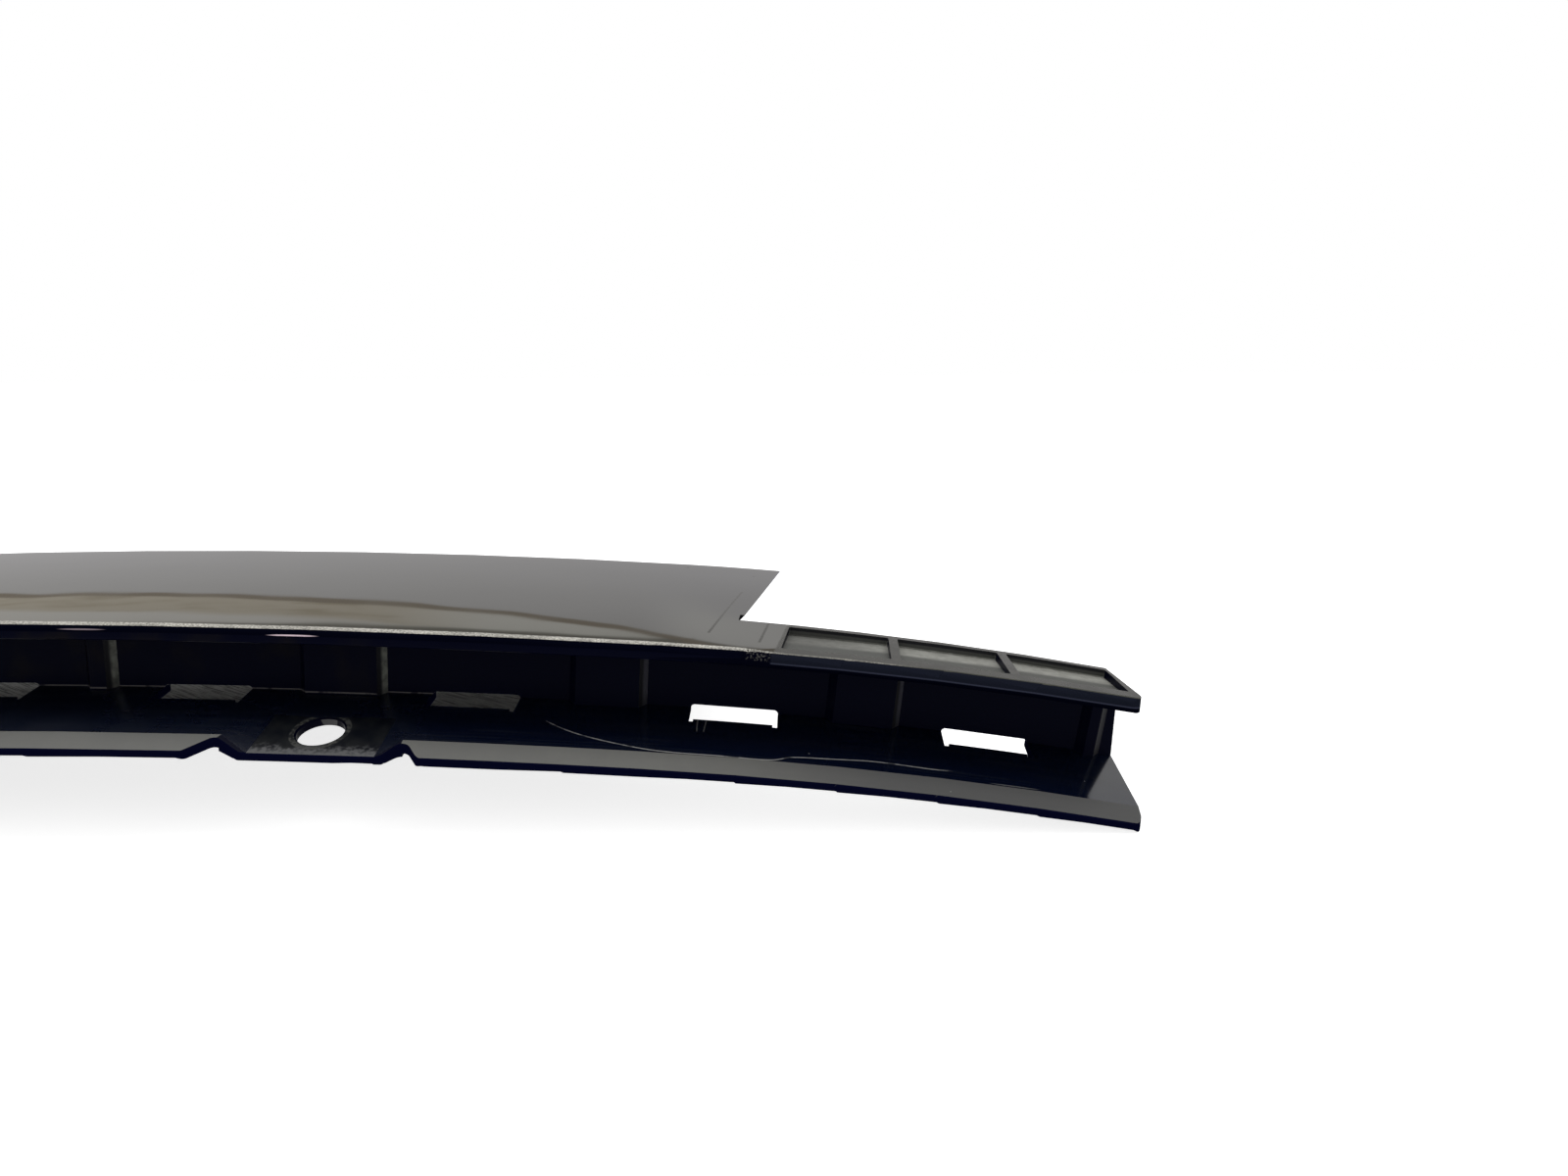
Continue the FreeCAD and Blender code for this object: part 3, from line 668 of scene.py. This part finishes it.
on_arm = (along > ARM_START) & within(deep, *POCKET_DEPTHS)
pocket_wall = on_arm & within(under_top, *POCKET_WALLS) & (along < ARM_END)
finish[pocket_wall & (abs(upward) < 0.6) & (rearward < 0.9)] = WEB
finish[on_arm & within(under_top, *POCKET_FLOORS) & (upward > 0.9)] = POCKET
rear_wall = within(along, REAR_WALL_START, ARM_END) & within(deep, *REAR_WALL_DEPTHS)
finish[rear_wall & within(under_top, *REAR_WALL_HEIGHTS) & (rearward < -0.5)] = POCKET
strip = (height < STRIP_LOW) & (upward > 0.7)
finish[strip & (rearward < TAB_LEANS[0])] = EDGE
finish[strip & (abs(rearward - STRIP_LEAN) < 0.03)] = STRIP
for hole in HOLE_PLACES:
    finish[(finish == STRIP) & within(along - hole, *TAB_REACH)] = WEB
tab_lean = (rearward >= TAB_LEANS[0]) & (rearward < TAB_LEANS[1])
finish[strip & tab_lean & (abs(ahead) < 0.08)] = TAB
low_front = (height < FLANGE_LOW) & (deep < FLANGE_FRONT)
finish[low_front & (rearward < -0.1) & (upward < 0.7)] = EDGE
opening_side = (abs(ahead) > 0.8) & within(deep, *OPENING_DEPTHS) & (along < TIP_FROM)
finish[(height < OPENING_TOP) & opening_side] = EDGE
ramp_face = (ahead > 0.5) & (upward < 0.5) & within(deep, *RAMP_DEPTHS)
finish[ramp_face & within(height, *RAMP_HEIGHTS)] = RAMP
shell_mesh.polygons.foreach_set("material_index", finish.astype(np.int32))

# Flat faces stay flat beside their roundings: an edge between two finishes is sharp.
edge_faces = {}
for face in shell_mesh.polygons:
    for key in face.edge_keys:
        edge_faces.setdefault(key, set()).add(int(finish[face.index]))
for edge in shell_mesh.edges:
    if len(edge_faces[edge.key]) > 1:
        edge.use_edge_sharp = True

# The floor under the moulding is plain, pale and matt. To the camera and to gloss it is white
# but for its shadow. Under the panel it is scuffed and painted dark as the panel's shadow, as
# the slots show it.
FLOOR_SIZE = 60.0
FLOOR_COLOUR = (0.78, 0.78, 0.78)
SHADE_COLOUR = (0.20, 0.20, 0.195)
SCUFFED_COLOUR = (0.45, 0.45, 0.44)
FLOOR_LIFT = (0.78, 0.60)
LIFT_REACH = (0.3, 1.4)
SHADE_X = (-0.06, 0.140)
SHADE_Y = (0.014, 0.050)
SHADE_SOFT = 0.003
SCUFF_TURN = math.radians(35)


def white_rays(tree):
    """Mask of the rays that show the background: the camera's, and those of gloss and glass."""
    path = node(tree, "LightPath", {}).outputs
    return most(tree, path["Is Camera Ray"], path["Is Glossy Ray"], path["Is Transmission Ray"])


def sheet(name, size, place, turn=(0.0, 0.0, 0.0)):
    """Flat staged sheet, made where it stands from a square of one metre."""
    made = bmesh.new()
    bmesh.ops.create_grid(made, x_segments=1, y_segments=1, size=0.5)
    bmesh.ops.scale(made, vec=(*size, 1.0), verts=made.verts)
    bmesh.ops.rotate(made, matrix=Euler(turn).to_matrix(), verts=made.verts)
    bmesh.ops.translate(made, vec=place, verts=made.verts)
    mesh = bpy.data.meshes.new(name)
    made.to_mesh(mesh)
    made.free()
    staged = bpy.data.objects.new(name, mesh)
    bpy.context.scene.collection.objects.link(staged)
    material = bpy.data.materials.new(name)
    material.use_nodes = True
    mesh.materials.append(material)
    return staged, material.node_tree


tree = sheet("floor", (FLOOR_SIZE, FLOOR_SIZE), (0.0, 0.0, 0.0))[1]
tree.nodes.remove(tree.nodes["Principled BSDF"])
matt = node(tree, "BsdfDiffuse", {})
spot = node(tree, "TexCoord", {}).outputs["Object"]
x, y = node(tree, "SeparateXYZ", {"Vector": spot}).outputs[:2]
# Painted shadow of the panel on the floor, with the floor's scuffs in it.
under = product(tree, band(tree, x, *SHADE_X, SHADE_SOFT), band(tree, y, *SHADE_Y, SHADE_SOFT))
turned = node(tree, "VectorRotate", {"Vector": spot, "Angle": SCUFF_TURN}, rotation_type="Z_AXIS")
in_mm = node(tree, "VectorMath", {0: turned.outputs[0], "Scale": 1.0 / MM}, operation="SCALE")
scuffs = placed_group(tree, rubs, in_mm.outputs[0], Length=14.0, Width=0.5, Share=0.35)
dim = blend(tree, scuffs, SHADE_COLOUR, SCUFFED_COLOUR)
tree.links.new(blend(tree, under, FLOOR_COLOUR, dim), matt.inputs["Color"])
away = node(tree, "VectorMath", {0: spot}, operation="LENGTH").outputs["Value"]
glow = product(tree, white_rays(tree), ramp(tree, away, *LIFT_REACH, FLOOR_LIFT), rest(tree, under))
lift = node(tree, "Emission", {"Strength": glow})
both = node(tree, "AddShader", {0: matt.outputs[0], 1: lift.outputs[0]})
tree.links.new(both.outputs[0], tree.nodes["Material Output"].inputs["Surface"])

# A grey card stands behind the moulding and a black one in front, as for any gloss black
# piece. Only gloss shows them. The grey one has a warm zone over a slanting join, a pale
# stretch over that and a dark top.
CARD_AWAY = 1.0
CARD_SIZE = (5.0, 0.50)
UPRIGHT = (math.radians(90), 0.0, 0.0)
CARD_GREY = (0.54, 0.53, 0.52)
CARD_LOW = (0.51, 0.50, 0.505)
CARD_BRIGHT = (0.68, 0.67, 0.645)
CARD_JOIN = (0.30, 0.26, 0.21)
CARD_WARM = (0.56, 0.51, 0.42)
CARD_MOTTLE = (0.44, 0.39, 0.30)
CARD_WARM_RIGHT = (0.68, 0.665, 0.61)
CARD_TOP = (0.67, 0.65, 0.605)
CARD_DARK = (0.24, 0.23, 0.20)
LEVEL_BASE = 0.036
JOIN_SLOPE = 0.0735
JOIN_HEIGHT = 0.2245
JOIN_SOFT = 0.003
WARM_SOFT = 0.004
BUMP_ALONG = (0.0, 0.14)
BUMP_HEIGHT = 0.02
WAVE_SCALE = 6.0
WAVE_HEIGHT = 0.006
MOTTLE_STRETCH = (10.0, 1.0, 150.0)
MOTTLED = (0.5, 0.68)
WARM_ALONG = (-0.32, -0.12)
GREY_RISE = (0.05, 0.25)
BRIGHT_ALONG = (0.02, 0.13)
BRIGHT_RISE = (0.12, 0.20)
TOP_FROM = (0.256, 0.266)
DARK_FROM = (0.277, 0.285)

grey_card, tree = sheet("grey_card", CARD_SIZE, (0.0, CARD_AWAY, CARD_SIZE[1] / 2), UPRIGHT)
tree.nodes.remove(tree.nodes["Principled BSDF"])
spot = node(tree, "TexCoord", {}).outputs["Object"]
spot_parts = node(tree, "SeparateXYZ", {"Vector": spot}).outputs
x = spot_parts["X"]
z = spot_parts["Z"]
level = leaning(tree, maths(tree, "SUBTRACT", z, LEVEL_BASE), x, JOIN_SLOPE)
level = maths(tree, "SUBTRACT", level, ramp(tree, x, *BUMP_ALONG, (0.0, BUMP_HEIGHT)))
wave = node(tree, "TexNoise", {"Vector": spot, "Scale": WAVE_SCALE, "Detail": 2.0}).outputs[0]
wave = product(tree, maths(tree, "SUBTRACT", wave, NOISE_MIDDLE), WAVE_HEIGHT)
level = maths(tree, "ADD", level, wave)
flat = node(tree, "VectorMath", {0: spot, 1: MOTTLE_STRETCH}, operation="MULTIPLY").outputs[0]
mottle = node(tree, "TexNoise", {"Vector": flat, "Scale": 1.0, "Detail": 3.0}).outputs[0]
warm = blend(tree, ramp(tree, mottle, *MOTTLED), CARD_WARM, CARD_MOTTLE)
warm = blend(tree, ramp(tree, x, *WARM_ALONG), warm, CARD_WARM_RIGHT)
lower = blend(tree, ramp(tree, level, *GREY_RISE), CARD_LOW, CARD_GREY)
bright = product(tree, ramp(tree, x, *BRIGHT_ALONG), ramp(tree, level, *BRIGHT_RISE))
lower = blend(tree, bright, lower, CARD_BRIGHT)
colour = blend(tree, ramp(tree, level, JOIN_HEIGHT, JOIN_HEIGHT + WARM_SOFT), lower, warm)
colour = blend(tree, ramp(tree, level, *TOP_FROM), colour, CARD_TOP)
colour = blend(tree, ramp(tree, z, *DARK_FROM), colour, CARD_DARK)
join = band(tree, level, JOIN_HEIGHT - JOIN_SOFT, JOIN_HEIGHT + JOIN_SOFT, JOIN_SOFT)
glow = node(tree, "Emission", {"Color": blend(tree, join, colour, CARD_JOIN)})
tree.links.new(glow.outputs[0], tree.nodes["Material Output"].inputs["Surface"])

BLACK_CARD_SIZE = (4.0, 0.5)
BLACK_CARD_PLACE = (0.1, -0.30, 0.25)
BLACK_CARD_COLOUR = (0.01, 0.012, 0.02)
black_card, tree = sheet("black_card", BLACK_CARD_SIZE, BLACK_CARD_PLACE, UPRIGHT)
tree.nodes["Principled BSDF"].inputs["Base Color"].default_value = (*BLACK_CARD_COLOUR, 1.0)
for card in (grey_card, black_card):
    card.visible_camera = False
    card.visible_diffuse = False
    card.visible_shadow = False

# One wide soft lamp hangs overhead, and the studio round it is white to the camera and to
# gloss. On matt faces the white room gives a weaker fill.
LAMP_SIZE = (2.2, 0.6)
LAMP_PLACE = (0.15, 0.12, 1.1)
LAMP_RADIANCE = 2.1
WORLD_FILL = 0.6

lamp_data = bpy.data.lights.new("soft_lamp", "AREA")
lamp_data.shape = "RECTANGLE"
lamp_data.size, lamp_data.size_y = LAMP_SIZE
lamp_data.energy = LAMP_RADIANCE * math.pi * LAMP_SIZE[0] * LAMP_SIZE[1]
lamp = bpy.data.objects.new("soft_lamp", lamp_data)
lamp.location = LAMP_PLACE
bpy.context.scene.collection.objects.link(lamp)

world = bpy.data.worlds.new("studio")
bpy.context.scene.world = world
world.use_nodes = True
tree = world.node_tree
back = tree.nodes["Background"]
back.inputs["Color"].default_value = (1.0, 1.0, 1.0, 1.0)
tree.links.new(eased(tree, white_rays(tree), WORLD_FILL, 1.0), back.inputs["Strength"])
bpy.context.scene.view_settings.view_transform = "Standard"

# The camera looks at the arm's end of the channel from its open side, low over the floor.
# Its place and turn were fitted to the flange, slots, hole and outline.
CAMERA_PLACE = (0.177212, -0.216566, 0.07621)
CAMERA_TURN = (78.4513, 0.4718, -0.0708)
CAMERA_LENS = 24.0
SENSOR_WIDTH = 36.0
NEAR_LIMIT = 0.01

camera_data = bpy.data.cameras.new("camera")
camera_data.lens = CAMERA_LENS
camera_data.sensor_width = SENSOR_WIDTH
camera_data.clip_start = NEAR_LIMIT
camera = bpy.data.objects.new("camera", camera_data)
camera.location = CAMERA_PLACE
camera.rotation_euler = [math.radians(a) for a in CAMERA_TURN]
bpy.context.scene.collection.objects.link(camera)
bpy.context.scene.camera = camera
